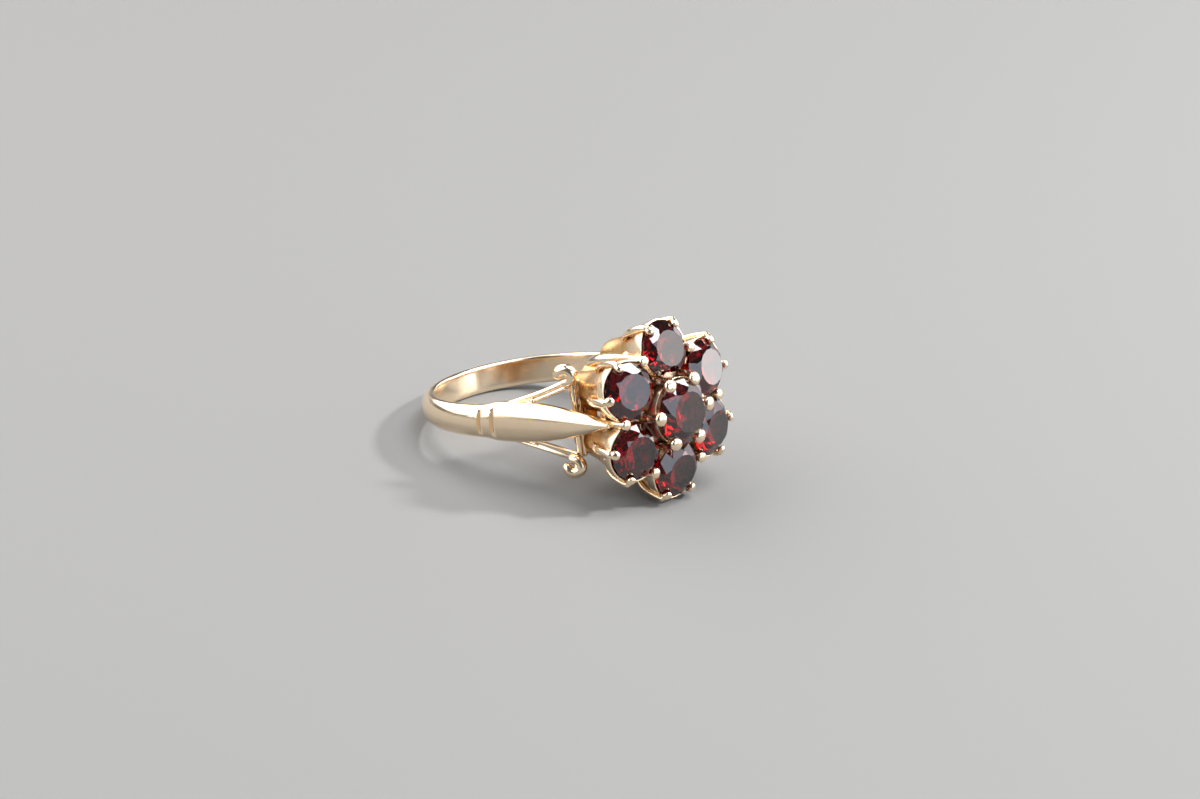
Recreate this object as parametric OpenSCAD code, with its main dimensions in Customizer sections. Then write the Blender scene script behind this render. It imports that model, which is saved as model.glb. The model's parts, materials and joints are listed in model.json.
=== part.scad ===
// Cluster ring: a tapered band with leaf shoulders, split side wires and scrolls,
// a fluted open gallery, and seven round stones in claws. All lengths are millimetres.

/* [Band] */
// Inside diameter, the finger size
finger_d = 17.2; // [15:0.2:21]
// Thickness of the band
band_t = 1.15; // [0.9:0.05:1.5]
// Width of the band at the back
band_w = 2.2; // [1.7:0.1:2.8]
// Width of the band where the shoulders begin
neck_w = 2.6; // [2.1:0.1:3]
// Height of the band's straight side below its rounded outside
band_edge = 0.3; // [0.2:0.05:0.5]
// Angle above the finger's middle where the shoulders leave the finger circle, in degrees
neck_angle = 14; // [8:1:20]

/* [Grooves] */
// Width of a cut groove at the crown of the band
groove_w = 0.42; // [0.2:0.02:0.6]
// Depth of a cut groove
groove_depth = 0.2; // [0.1:0.02:0.35]
// Distance between the two grooves of one shoulder
groove_gap = 1.2; // [0.8:0.1:2]
// Distance from the start of a shoulder to the middle of its grooves
groove_start = 0.8; // [0.7:0.05:2]

/* [Shoulders] */
// Greatest width of a leaf shoulder
leaf_w = 3.2; // [2.8:0.1:3.8]
// Greatest thickness of a leaf shoulder
leaf_t = 1.5; // [1.2:0.05:1.9]
// Length of the straight run that sets how full the shoulder's curve is
leaf_run = 5.5; // [4:0.25:7]

/* [Side wires] */
// Width of a side wire across its two ridges
wire_w = 0.76; // [0.6:0.02:1]
// Thickness of a side wire
wire_t = 0.66; // [0.5:0.02:0.9]
// Depth of the channel along a side wire
channel_depth = 0.16; // [0.06:0.02:0.24]
// Distance of a side wire's far end from the ring's middle plane
wire_spread = 2.95; // [2.7:0.1:3.6]
// Outside diameter of a scroll
scroll_d = 1.9; // [1.5:0.05:2.4]
// Thickness of the scroll's wire
scroll_wire = 0.6; // [0.36:0.02:0.64]
// Bead in the fork between a shoulder and a side wire
fork_bead_d = 0.5; // [0.3:0.05:0.6]

/* [Head] */
// Height of the outer stones' girdles above the finger
head_h = 5.8; // [5:0.1:7]
// Distance from the head's middle to the outer stones
cluster_r = 4.8; // [4.7:0.05:5.4]
// Height of the centre stone above the outer ones
centre_rise = 1.35; // [1:0.05:2]
// Outward lean of the outer stones, in degrees
stone_lean = 12; // [8:0.5:15]

/* [Stones] */
// Diameter of an outer stone
outer_d = 4.5; // [4:0.05:4.6]
// Diameter of the centre stone
centre_d = 5.1; // [4.5:0.05:5.3]
// Table width as a share of a stone's diameter
table_share = 0.62; // [0.5:0.01:0.68]
// Crown height as a share of a stone's diameter
crown_share = 0.14; // [0.1:0.005:0.17]
// Pavilion depth as a share of a stone's diameter
pavilion_share = 0.42; // [0.36:0.01:0.46]
// Girdle thickness as a share of a stone's diameter
girdle_share = 0.03; // [0.02:0.005:0.05]
// Clearance between a stone and the metal round it
stone_gap = 0.04; // [0.02:0.01:0.08]

/* [Cups] */
// Wall of a cup
cup_wall = 0.42; // [0.32:0.02:0.6]
// Height of the plain rim below the girdle
rim_h = 0.95; // [0.7:0.05:1.3]
// Step from the rim in to the tapered cup
rim_step = 0.12; // [0.06:0.02:0.2]
// Outside diameter of an outer cup at the finger
foot_d = 3; // [2.5:0.1:3.4]
// Outside diameter of an outer cup's waist
waist_d = 3.1; // [2.6:0.1:3.4]
// Depth of the waist below the girdle
waist_drop = 3.1; // [2.8:0.1:3.4]
// Outside diameter of the lobe below the waist
lobe_d = 3.6; // [3.2:0.1:3.8]
// Depth of the lobe's widest place below the girdle
lobe_drop = 4.4; // [4:0.1:4.8]
// Thickness of the plate that joins the cups below the stones
plate_t = 0.6; // [0.4:0.05:0.9]
// Height of the foot rail above the finger
rail_h = 0.9; // [0.6:0.05:1.3]
// Width of the foot rail
rail_w = 0.9; // [0.6:0.05:1.2]

/* [Claws] */
// Thickness of a claw's arm
claw_d = 0.6; // [0.46:0.02:0.66]
// Bead on the claws between the outer stones
side_bead_d = 0.88; // [0.7:0.02:1.05]
// Bead on the claws round the centre stone
inner_bead_d = 1.02; // [0.8:0.02:1.15]
// Angle of an outer stone's own claws from its outward line, in degrees
own_angle = 30; // [24:1:36]
// Reach of an outer stone's own claws below its girdle
own_drop = 3; // [2.4:0.1:3.6]

/* [Hidden] */

bore_r = finger_d / 2;
band_r = bore_r + band_t;
girdle_z = bore_r + head_h;
centre_z = girdle_z + centre_rise;
outer_r = outer_d / 2;
centre_r = centre_d / 2;
OUTER_COUNT = 6;
OUTER_STEP = 360 / OUTER_COUNT;
// Solids that a cut crosses reach this far past it
CUT = 0.4;
ROUND = 48;
CLAW_SIDES = 8;

// Middle of an outer cup's foot, and how far the feet reach towards a shoulder
foot_r = cluster_r - head_h * tan(stone_lean);
foot_reach = foot_r * cos(OUTER_STEP / 2) + foot_d / 2;

// Side claws, between the outer stones, by share of the head's height above the finger:
// distance from the head's middle as a share of the stones' circle, and thickness
SIDE_CLAW = [
    [-0.08, 0.90, 1.00],
    [ 0.12, 0.99, 1.00],
    [ 0.35, 1.055, 1.00],
    [ 0.55, 1.085, 1.00],
    [ 0.75, 1.10, 1.00],
    [ 0.93, 1.10, 1.06],
    [ 1.04, 1.075, 1.12],
];
function side_claw_r(share) = cluster_r * lookup(share, [for (row = SIDE_CLAW) [row[0], row[1]]]);

gold = "#D9B46A";
garnet = "#5A0A12";

// Vectors and curves

function unit(v) = v / norm(v);
function mix(a, b, k) = a + (b - a) * k;
function bezier(a, b, c, k) = mix(mix(a, b, k), mix(b, c, k), k);
function bezier_slope(a, b, c, k) = unit(mix(b - a, c - b, k));
function tangent(path, i) = unit(path[min(i + 1, len(path) - 1)] - path[max(i - 1, 0)]);
function polar(r, angle, z) = [r * cos(angle), r * sin(angle), z];

// Loft through rings of equal length, closed at both ends. Each ring runs
// anticlockwise about the direction in which the rings follow each other.
module skin(rings) {
    n = len(rings[0]);
    last = (len(rings) - 1) * n;
    polyhedron(
        points = [for (ring = rings) each ring],
        faces = concat(
            [[for (j = [0:n - 1]) j]],
            [for (i = [0:n:last - n], j = [0:n - 1])
                [i + j, i + n + j, i + n + (j + 1) % n, i + (j + 1) % n]],
            [[for (j = [n - 1:-1:0]) last + j]]));
}

// Outline swept along a path, with its y axis kept as near to up as the path allows.
// Each path point may scale the outline.
module sweep(path, outline, up, scales) {
    skin([for (i = [0:len(path) - 1])
        let (
            t = tangent(path, i),
            side = unit(cross(up, t)),
            top = cross(t, side))
        [for (q = outline) path[i] + (q.x * side + q.y * top) * scales[i]]]);
}

function circle_outline(d, sides) =
    [for (k = [0:sides - 1]) [d / 2 * cos(360 * (k + 0.5) / sides),
        d / 2 * sin(360 * (k + 0.5) / sides)]];

// Band and shoulders

// Leaf shoulder by share of its length: width and thickness as shares of the leaf's own
LEAF_LENGTH = 0;
LEAF_WIDTH = 1;
LEAF_THICK = 2;
LEAF = [
    [0.00, 0.82, 0.96],
    [0.10, 0.94, 1.00],
    [0.25, 1.00, 1.00],
    [0.42, 0.97, 0.94],
    [0.58, 0.86, 0.82],
    [0.72, 0.69, 0.70],
    [0.84, 0.48, 0.60],
    [0.93, 0.30, 0.52],
    [1.00, 0.17, 0.46],
];
BAND_STEPS = 22;
LEAF_STEPS = 16;
CROWN_STEPS = 10;

leaf_start = [band_r * cos(neck_angle), 0, band_r * sin(neck_angle)];
leaf_turn = leaf_start + leaf_run * [-sin(neck_angle), 0, cos(neck_angle)];
leaf_end = [side_claw_r(0.9) + claw_d * 1.3, 0, girdle_z - own_drop / 3];

function leaf_share(u, column) = lookup(u, [for (row = LEAF) [row[LEAF_LENGTH], row[column]]]);

// A station is [point on the outer crown, outward direction, width, depth below the crown]
function band_station(k) =
    let (
        angle = mix(-90, neck_angle, k),
        out = [cos(angle), 0, sin(angle)])
    [band_r * out, out, mix(band_w, neck_w, k * k), band_t + CUT];
function leaf_station(u) =
    let (slope = bezier_slope(leaf_start, leaf_turn, leaf_end, u))
    [bezier(leaf_start, leaf_turn, leaf_end, u), [slope.z, 0, -slope.x],
        mix(neck_w, leaf_w * leaf_share(u, LEAF_WIDTH), min(1, u * 8)),
        mix(band_t + CUT, leaf_t * leaf_share(u, LEAF_THICK), min(1, u * 4))];
function mirrored(s) = [[-s[0].x, 0, s[0].z], [-s[1].x, 0, s[1].z], s[2], s[3]];

// Flat inside, short straight sides, rounded outside
function band_outline(w, depth) =
    let (crown = min(band_t - band_edge, depth * 0.7))
    concat(
        [[w / 2, -depth]],
        [for (k = [0:CROWN_STEPS]) [w / 2 * cos(180 * k / CROWN_STEPS),
            crown * (sin(180 * k / CROWN_STEPS) - 1)]],
        [[-w / 2, -depth]]);
function station_ring(s) =
    [for (q = band_outline(s[2], s[3])) s[0] + q.y * s[1] - [0, q.x, 0]];

module band() {
    right = concat(
        [for (k = [0:BAND_STEPS]) band_station(k / BAND_STEPS)],
        [for (k = [1:LEAF_STEPS]) leaf_station(k / LEAF_STEPS)]);
    left = [for (k = [len(right) - 1:-1:1]) mirrored(right[k])];
    skin([for (s = concat(left, right)) station_ring(s)]);
}

module grooves() {
    cut_r = (groove_w * groove_w / 4 + groove_depth * groove_depth) / (2 * groove_depth);
    for (side = [-1, 1]) {
        s = leaf_station((groove_start + side * groove_gap / 2) / (2 * leaf_run));
        halves()
            translate(s[0] + s[1] * (cut_r - groove_depth))
                rotate([90, 0, 0])
                    cylinder(h = leaf_w * 2, r = cut_r, center = true, $fn = ROUND);
    }
}

// Side wires, scrolls and end rails

WIRE_STEPS = 10;
root_angle = neck_angle + 13.6;
root_r = band_r - wire_t * 1.3;
wire_root = [root_r * cos(root_angle), neck_w / 2 - wire_w / 4, root_r * sin(root_angle)];
wire_end_r = bore_r + rail_h * 2.4;
wire_end_x = foot_reach + rail_w * 1.12;
wire_end = [wire_end_x, wire_spread, sqrt(wire_end_r * wire_end_r - wire_end_x * wire_end_x)];
wire_turn = mix(wire_root, wire_end, 0.5) + [0.1, -0.05, wire_t * 0.9];

// Two rounded ridges with a channel between them
function wire_outline() =
    let (w = wire_w / 2, t = wire_t / 2)
    [[w, -t * 0.5], [w, t * 0.5], [w * 0.8, t], [w * 0.4, t],
        [0, t - channel_depth],
        [-w * 0.4, t], [-w * 0.8, t], [-w, t * 0.5], [-w, -t * 0.5], [-w * 0.6, -t],
        [w * 0.6, -t]];

module side_wire() {
    path = [for (k = [0:WIRE_STEPS]) bezier(wire_root, wire_turn, wire_end, k / WIRE_STEPS)];
    out = unit([wire_turn.x, 0, wire_turn.z]);
    sweep(path, wire_outline(), out, [for (p = path) 1]);
    fork = bezier(wire_root, wire_turn, wire_end, 0.4);
    translate(fork + out * wire_t / 4 - [0, wire_w / 4, 0])
        sphere(d = fork_bead_d, $fn = 24);
}

// Scroll by share of its turn: distance from its middle as a share of its radius, and
// thickness as a share of its wire
SCROLL = [
    [0.00, 1.00, 0.90],
    [0.25, 1.00, 1.00],
    [0.50, 0.98, 1.00],
    [0.75, 0.88, 1.00],
    [1.00, 0.66, 0.90],
];
SCROLL_STEPS = 12;
SCROLL_TURN = 320;

// The wire's end curls outward, in a plane that holds the bore's direction
module scroll() {
    ring_r = (scroll_d - scroll_wire) / 2;
    slope = bezier_slope(wire_root, wire_turn, wire_end, 1);
    along = unit([slope.x, 0, slope.z]);
    out = [along.z, 0, -along.x];
    middle = wire_end + (out * 0.5 - along * 0.3) * scroll_wire + [0, ring_r * 0.95, 0];
    turn = [for (k = [0:SCROLL_STEPS]) k / SCROLL_STEPS];
    path = [for (k = turn)
        let (
            a = 200 - SCROLL_TURN * k,
            r = ring_r * lookup(k, [for (row = SCROLL) [row[0], row[1]]]))
        middle + r * (cos(a) * [0, 1, 0] + sin(a) * along)];
    sweep(path, circle_outline(scroll_wire, CLAW_SIDES), out,
        [for (k = turn) lookup(k, [for (row = SCROLL) [row[0], row[2]]])]);
}

// Two fine wires that close the gallery between the scrolls of one side
module end_rail() {
    for (step = [0.1, 0.6])
        translate([foot_reach + step * rail_w, 0, wire_end.z])
            rotate([90, 0, 0])
                cylinder(h = wire_spread * 2 + rail_w * 0.4, d = rail_w * 0.56, center = true,
                    $fn = 24);
}

module quarters() {
    for (x = [0, 1], y = [0, 1])
        mirror([x, 0, 0])
            mirror([0, y, 0])
                children();
}

module halves() {
    for (x = [0, 1])
        mirror([x, 0, 0])
            children();
}

// Stones

// Half the angle that a main facet's edge takes on the table
FACET_EDGE = 10;
// Turn of each stone's facets in its seat, in degrees
CENTRE_TURN = 14;
OUTER_TURNS = [16, 42, 18, 35, 16, 18];

function girdle_half(d) = girdle_share * d / 2;
function stone_top(d) = girdle_half(d) + crown_share * d;
function table_r(d) = table_share * d / 2 * 1.02;
function star_r(d) = mix(table_r(d), d / 2, 0.36);
// Heights that keep the main facets of the crown and the pavilion flat
function star_z(d) =
    let (edge = table_r(d) * cos(FACET_EDGE))
    mix(stone_top(d), girdle_half(d), (star_r(d) * cos(22.5) - edge) / (d / 2 - edge));

module stone(d) {
    r = d / 2;
    girdle = girdle_half(d);
    top = stone_top(d);
    low = -girdle - pavilion_share * d;
    break_r = r * 0.28;
    break_z = mix(low, -girdle, break_r * cos(22.5) / r);
    points = concat(
        [for (k = [0:7], side = [-1, 1]) polar(table_r(d), 45 * k + side * FACET_EDGE, top)],
        [for (k = [0:7]) polar(star_r(d), 45 * k + 22.5, star_z(d))],
        [for (k = [0:15]) polar(r, 22.5 * k, girdle)],
        [for (k = [0:15]) polar(r, 22.5 * k, -girdle)],
        [for (k = [0:7]) polar(break_r, 45 * k + 22.5, break_z)],
        [[0, 0, low]]);
    STAR = 16;
    GIRDLE = 24;
    UNDER = 40;
    BREAK = 56;
    CULET = 64;
    polyhedron(points, concat(
        [[for (k = [15:-1:0]) k]],
        [for (k = [0:7]) [2 * k + 1, (2 * k + 2) % 16, STAR + k]],
        [for (k = [0:7]) [2 * k, 2 * k + 1, STAR + k, GIRDLE + 2 * k, STAR + (k + 7) % 8]],
        [for (k = [0:7]) [STAR + k, GIRDLE + 2 * k + 1, GIRDLE + 2 * k]],
        [for (k = [0:7]) [STAR + k, GIRDLE + (2 * k + 2) % 16, GIRDLE + 2 * k + 1]],
        [for (k = [0:15]) [GIRDLE + k, GIRDLE + (k + 1) % 16, UNDER + (k + 1) % 16, UNDER + k]],
        [for (k = [0:7]) [UNDER + 2 * k, UNDER + 2 * k + 1, BREAK + k]],
        [for (k = [0:7]) [UNDER + 2 * k + 1, UNDER + (2 * k + 2) % 16, BREAK + k]],
        [for (k = [0:7]) [UNDER + 2 * k, BREAK + k, CULET, BREAK + (k + 7) % 8]]));
}

// The round space that a stone takes, with its clearance
module stone_room(d) {
    r = d / 2 + stone_gap;
    half = girdle_half(d) + stone_gap;
    rotate_extrude($fn = ROUND)
        polygon([
            [0, half + crown_share * d],
            [table_r(d) + stone_gap, half + crown_share * d],
            [star_r(d) + stone_gap, star_z(d) + stone_gap],
            [r, half], [r, -half],
            [0, -half - pavilion_share * d]]);
}

function outer_angle(i) = OUTER_STEP * (i + 0.5);
// A point of an outer stone's own frame, in the head's frame
function on_outer(i, p) =
    let (
        out = p.x * cos(stone_lean) + p.z * sin(stone_lean) + cluster_r,
        z = girdle_z - p.x * sin(stone_lean) + p.z * cos(stone_lean),
        a = outer_angle(i))
    [out * cos(a) - p.y * sin(a), out * sin(a) + p.y * cos(a), z];

module at_outer(i) {
    rotate([0, 0, outer_angle(i)])
        translate([cluster_r, 0, girdle_z])
            rotate([0, stone_lean, 0])
                children();
}

module at_centre() {
    translate([0, 0, centre_z])
        children();
}

// Cups, plate and foot rail

cup_drop = head_h + bore_r - sqrt(bore_r * bore_r - foot_reach * foot_reach) + CUT;
plate_z = girdle_z - pavilion_share * outer_d - plate_t;

function rim_r(d) = d / 2 + cup_wall * 0.25;

// A cup's lower part is a list of its diameters and their depths below the girdle
outer_lower = [[waist_d, waist_drop], [lobe_d, lobe_drop], [foot_d, cup_drop]];
centre_lower = [[centre_d * 0.62, centre_z - plate_z]];

module cup(d, lower) {
    rotate_extrude($fn = ROUND)
        polygon(concat(
            [[0, -stone_gap * 4], [rim_r(d), -stone_gap * 4],
                [rim_r(d) - rim_step / 2, -rim_h],
                [rim_r(d) - rim_step, -rim_h - rim_step]],
            [for (place = lower) [place[0] / 2, -place[1]]],
            [[0, -lower[len(lower) - 1][1]]]));
}

module cup_hollow(d, lower) {
    seat_r = rim_r(d) - cup_wall;
    foot = lower[len(lower) - 1];
    rotate_extrude($fn = ROUND)
        polygon(concat(
            [[0, CUT], [seat_r, CUT], [seat_r, -rim_h]],
            [for (place = lower) [place[0] / 2 - cup_wall, -place[1]]],
            [[foot[0] / 2 - cup_wall, -foot[1] - CUT], [0, -foot[1] - CUT]]));
}

module cups() {
    for (i = [0:OUTER_COUNT - 1])
        at_outer(i)
            cup(outer_d, outer_lower);
    at_centre()
        cup(centre_d, centre_lower);
    translate([0, 0, plate_z])
        cylinder(h = plate_t, r = side_claw_r(0.55), $fn = ROUND);
}

module cup_hollows() {
    for (i = [0:OUTER_COUNT - 1])
        at_outer(i)
            cup_hollow(outer_d, outer_lower);
    at_centre()
        cup_hollow(centre_d, centre_lower);
    // the open middle of the gallery, below the plate
    translate([0, 0, plate_z - head_h])
        cylinder(h = head_h, r = foot_r - cup_wall / 2, $fn = ROUND);
}

// Plain ring round the foot of the gallery, over the finger
module foot_rail() {
    low = sqrt(bore_r * bore_r - pow(foot_r + rail_w, 2)) - CUT;
    translate([0, 0, low])
        difference() {
            cylinder(h = bore_r + rail_h - low, r = foot_r + rail_w, $fn = ROUND);
            translate([0, 0, -CUT])
                cylinder(h = head_h + bore_r, r = foot_r, $fn = ROUND);
        }
}

// Claws

// Bead by share of its diameter along the claw: width as a share of its diameter
BEAD = [
    [-0.40, 0.60],
    [-0.20, 0.92],
    [ 0.05, 1.00],
    [ 0.28, 0.83],
    [ 0.44, 0.48],
    [ 0.50, 0.12],
];
function bead_path(middle, along, d) = [for (row = BEAD) middle + along * (d * row[0])];
function bead_scales(d) = [for (row = BEAD) row[1] * d / claw_d];

side_bead = [cluster_r * 1.065, 0, girdle_z + side_bead_d * 0.55];

module side_claw() {
    path = [for (row = SIDE_CLAW) [cluster_r * row[1], 0, bore_r + head_h * row[0]]];
    sweep(concat(path, bead_path(side_bead, unit([-0.25, 0, 1]), side_bead_d)),
        circle_outline(claw_d, CLAW_SIDES), [0, 1, 0],
        concat([for (row = SIDE_CLAW) row[2]], bead_scales(side_bead_d)));
}

// Inner claws, round the centre stone, rising from the plate
inner_arm_r = centre_r + stone_gap + claw_d / 2;
inner_bead = [inner_arm_r - claw_d * 0.3, 0, centre_z + inner_bead_d * 0.3];

module inner_claw() {
    low = plate_z + plate_t / 2;
    arm = [
        [inner_arm_r, 0, low],
        [inner_arm_r, 0, centre_z - claw_d]];
    sweep(concat(arm, bead_path(inner_bead, unit([-0.25, 0, 1]), inner_bead_d)),
        circle_outline(claw_d, CLAW_SIDES), [0, 1, 0],
        concat([1.1, 1.1], bead_scales(inner_bead_d)));
}

// Own claws of an outer stone, two on its outer side, in the stone's frame. By share of the
// claw's drop: distance from the arm's line as a share of its thickness, and thickness
own_arm_r = outer_r + stone_gap + claw_d / 2;
OWN_CLAW = [
    [-1.00, -1.45, 0.90],
    [-0.84, -0.66, 1.00],
    [-0.62, -0.16, 1.00],
    [-0.38,  0.02, 1.00],
    [-0.12,  0.04, 1.02],
];
// Their tips, bent over the crown: reach, height and thickness, all by the claw's thickness
OWN_TIP = [
    [ 0.02, 0.15, 1.08],
    [-0.20, 0.62, 1.16],
    [-0.58, 0.96, 1.12],
    [-0.95, 1.08, 0.84],
    [-1.12, 1.10, 0.40],
];
own_path = concat(
    [for (row = OWN_CLAW) [own_arm_r + claw_d * row[1], 0, own_drop * row[0]]],
    [for (row = OWN_TIP) [own_arm_r + claw_d * row[0], 0, claw_d * row[1]]]);
own_scales = concat([for (row = OWN_CLAW) row[2]], [for (row = OWN_TIP) row[2]]);

module own_claw() {
    sweep(own_path, circle_outline(claw_d, CLAW_SIDES), [0, 1, 0], own_scales);
}

module claws() {
    for (i = [0:OUTER_COUNT - 1]) {
        rotate([0, 0, OUTER_STEP * i]) {
            side_claw();
            inner_claw();
        }
        at_outer(i)
            for (side = [-1, 1])
                rotate([0, 0, side * own_angle])
                    own_claw();
    }
}

// Rest on a flat surface: the band's back and the lowest claws both touch it

LOW = 4;
own_points = [
    for (side = [-1, 1], i = [0:len(own_path) - 1])
        let (
            p = own_path[i],
            q = on_outer(LOW, [p.x * cos(own_angle), side * p.x * sin(own_angle), p.z]))
        [q.y, q.z, claw_d / 2 * own_scales[i]]];

// How far the head, and the band's back, reach down when the head is raised by an angle
function head_drop(angle) =
    max([for (p = own_points) p[2] - p[0] * cos(angle) - p[1] * sin(angle)]);
function back_reach(across, down) =
    down * (bore_r + band_edge)
    + norm([band_w / 2 * across, (band_t - band_edge) * down]);
function rest_angle(low, high, n) =
    let (mid = (low + high) / 2)
    n == 0 ? mid
    : head_drop(mid) > back_reach(cos(mid), sin(mid)) ? rest_angle(mid, high, n - 1)
    : rest_angle(low, mid, n - 1);
rest = rest_angle(0, 45, 30);
lift = head_drop(rest);
front = max([for (side = [-1, 1])
    let (p = polar(inner_bead.x, side * OUTER_STEP, inner_bead.z))
    p.z * cos(rest) - p.y * sin(rest) + inner_bead_d / 2]);
back = back_reach(sin(rest), cos(rest));

// From the ring's own frame, with the head upward, to the ring lying on its side
module lie() {
    translate([0, (front - back) / 2, lift])
        rotate([90 - rest, 0, 0])
            children();
}

// Sub-parts

module setting() {
    color(gold)
        lie()
            difference() {
                union() {
                    band();
                    quarters() {
                        side_wire();
                        scroll();
                    }
                    halves()
                        end_rail();
                    cups();
                    foot_rail();
                    claws();
                }
                rotate([90, 0, 0])
                    cylinder(h = finger_d * 2, r = bore_r, center = true, $fn = 180);
                grooves();
                cup_hollows();
                for (i = [0:OUTER_COUNT - 1])
                    at_outer(i)
                        stone_room(outer_d);
                at_centre()
                    stone_room(centre_d);
            }
}

module stone_centre() {
    color(garnet)
        lie()
            at_centre()
                rotate([0, 0, CENTRE_TURN])
                    stone(centre_d);
}

module outer_stone(i) {
    color(garnet)
        lie()
            at_outer(i)
                rotate([0, 0, OUTER_TURNS[i]])
                    stone(outer_d);
}

setting();
stone_centre();
for (i = [0:OUTER_COUNT - 1])
    outer_stone(i);
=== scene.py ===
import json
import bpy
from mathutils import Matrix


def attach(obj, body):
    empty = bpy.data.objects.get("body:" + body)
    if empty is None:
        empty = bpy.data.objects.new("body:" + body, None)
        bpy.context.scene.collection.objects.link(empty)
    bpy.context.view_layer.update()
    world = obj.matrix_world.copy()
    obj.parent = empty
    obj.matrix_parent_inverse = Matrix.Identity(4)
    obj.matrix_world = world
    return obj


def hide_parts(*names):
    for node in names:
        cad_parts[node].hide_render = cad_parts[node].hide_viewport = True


bl_info = {
    "name": "Cluster Ring",
    "version": (1, 0, 0),
    "blender": (4, 5, 0),
    "location": "View3D > Sidebar > Cluster Ring",
    "description": "Dresses the packed cluster ring in polished gold and cut garnet",
    "category": "Add Mesh",
}

from math import atan2, cos, exp, pi, radians, sin, sqrt
from types import SimpleNamespace

import bmesh
import bpy
from bpy.props import FloatProperty, FloatVectorProperty, PointerProperty
from mathutils import Matrix, Vector

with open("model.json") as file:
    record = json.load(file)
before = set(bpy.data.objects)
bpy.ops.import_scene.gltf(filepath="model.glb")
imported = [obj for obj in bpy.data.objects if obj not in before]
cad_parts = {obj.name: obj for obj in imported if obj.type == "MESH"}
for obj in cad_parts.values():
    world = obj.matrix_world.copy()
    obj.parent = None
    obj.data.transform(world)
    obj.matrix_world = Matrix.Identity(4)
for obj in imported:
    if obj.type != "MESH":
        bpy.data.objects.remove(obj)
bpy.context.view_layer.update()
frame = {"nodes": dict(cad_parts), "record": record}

MM = 0.001
# Points closer than this, in millimetres, are one
SAME_POINT = 1e-4
METAL = "setting"
STONES = sorted(name for name in frame["nodes"] if name.startswith("stone"))
OUTER_COUNT = 6
OUTER_STEP = 2 * pi / OUTER_COUNT
X, Y, Z = Vector((1, 0, 0)), Vector((0, 1, 0)), Vector((0, 0, 1))


def finger_bore():
    """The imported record's mount for the finger."""
    return next(m for m in frame["record"]["mounts"] if m["name"] == "finger_bore")


def ring_frame():
    """From the ring's own frame, in millimetres with the head upward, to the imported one."""
    bore = finger_bore()
    along = Vector(bore["axis"]).normalized()
    turn = Matrix((X, along, X.cross(along))).transposed().to_4x4()
    return Matrix.Translation(bore["pos_m"]) @ turn @ Matrix.Scale(MM, 4)


PLACE = ring_frame()
BORE_R = finger_bore()["dims"]["r_mm"]


# Sizes and colours that a user may change


def length(name, description, millimetres):
    """A property that holds a length."""
    return FloatProperty(
        name=name, description=description, default=millimetres * MM, min=0,
        subtype="DISTANCE", unit="LENGTH", precision=5)


def angle(name, description, in_degrees):
    """A property that holds an angle."""
    return FloatProperty(
        name=name, description=description, default=radians(in_degrees),
        subtype="ANGLE", unit="ROTATION")


def factor(name, description, default):
    """A property that holds a share from nought to one."""
    return FloatProperty(
        name=name, description=description, default=default, min=0, max=1, subtype="FACTOR")


def colour(name, description, default):
    """A property that holds a colour."""
    return FloatVectorProperty(
        name=name, description=description, default=default, size=3, min=0, max=1,
        subtype="COLOR")


class RingBandSizes(bpy.types.PropertyGroup):
    """The band, its leaf shoulders and their grooves."""

    thickness: length("Thickness", "Thickness of the band", 1.15)
    back_width: length("Back width", "Width of the band at the back", 2.2)
    neck_width: length("Neck width", "Width of the band where the shoulders begin", 2.6)
    edge: length("Edge", "Height of the straight side below the rounded outside", 0.3)
    neck: angle("Neck angle", "Where the shoulders leave the finger circle", 14)
    leaf_width: length("Leaf width", "Greatest width of a leaf shoulder", 3.2)
    leaf_thickness: length("Leaf thickness", "Greatest thickness of a leaf shoulder", 1.5)
    leaf_run: length("Leaf run", "How full the curve of a shoulder is", 5.5)
    groove_width: length("Groove width", "Width of a cut groove", 0.46)
    groove_depth: length("Groove depth", "Depth of a cut groove", 0.36)
    groove_gap: length("Groove gap", "Distance between the two grooves of a shoulder", 1.2)
    groove_start: length("Groove start", "From the neck to the middle of the grooves", 0.8)


class RingWireSizes(bpy.types.PropertyGroup):
    """The split side wires, the scrolls and the end rails."""

    width: length("Width", "Width of a side wire across its two ridges", 0.76)
    thickness: length("Thickness", "Thickness of a side wire", 0.66)
    channel: length("Channel", "Depth of the channel along a side wire", 0.16)
    spread: length("Spread", "From the middle plane to a side wire's end", 2.95)
    scroll: length("Scroll", "Outside diameter of a scroll", 1.9)
    scroll_wire: length("Scroll wire", "Thickness of the scroll's wire", 0.6)
    fork_bead: length("Fork bead", "Bead in the fork between shoulder and wire", 0.5)
    rail: length("Rail", "Width of the foot rail and of an end rail's pair of wires", 0.9)
    rail_height: length("Rail height", "Height of the foot rail above the finger", 0.9)


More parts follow.
